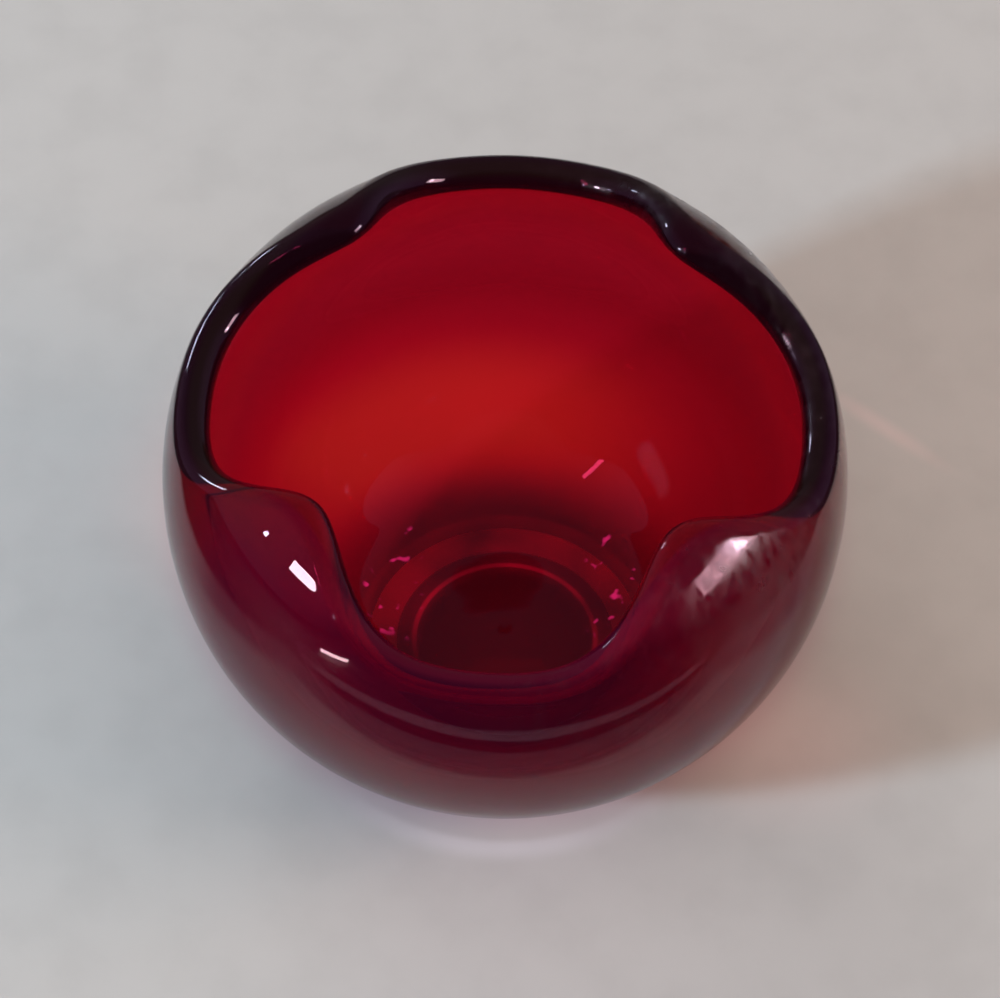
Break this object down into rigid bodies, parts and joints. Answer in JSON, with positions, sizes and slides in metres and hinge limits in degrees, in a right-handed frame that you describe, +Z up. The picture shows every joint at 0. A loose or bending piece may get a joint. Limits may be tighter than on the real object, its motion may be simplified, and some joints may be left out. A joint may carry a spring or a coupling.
{
  "type": "rose bowl",
  "caption": "Heavy ruby glass rose bowl: a cut-open ball with a thick melted lip pressed in between its lobes, on a ground foot.",
  "frame": {"origin": "middle of the foot, on the plane that the bowl stands on", "axes": "+Z up along the bowl's axis, out of its mouth; -Y towards the lobe that faces the viewer of the picture, +X to the viewer's right"},
  "size_m": [0.12, 0.12, 0.0874],
  "materials": {
    "lip_glass": "fire-polished ruby glass, so thick at the edge that it looks almost black",
    "wall_glass": "clear glossy ruby glass, the same through its whole thickness",
    "base_glass": "clear glossy ruby glass, darker where it is thick",
    "foot_glass": "ruby glass, ground flat where it stands"
  },
  "bodies": {
    "root": {"lip": "lip_glass", "wall": "wall_glass", "base": "base_glass", "foot_ring": "foot_glass"}
  },
  "joints": []
}
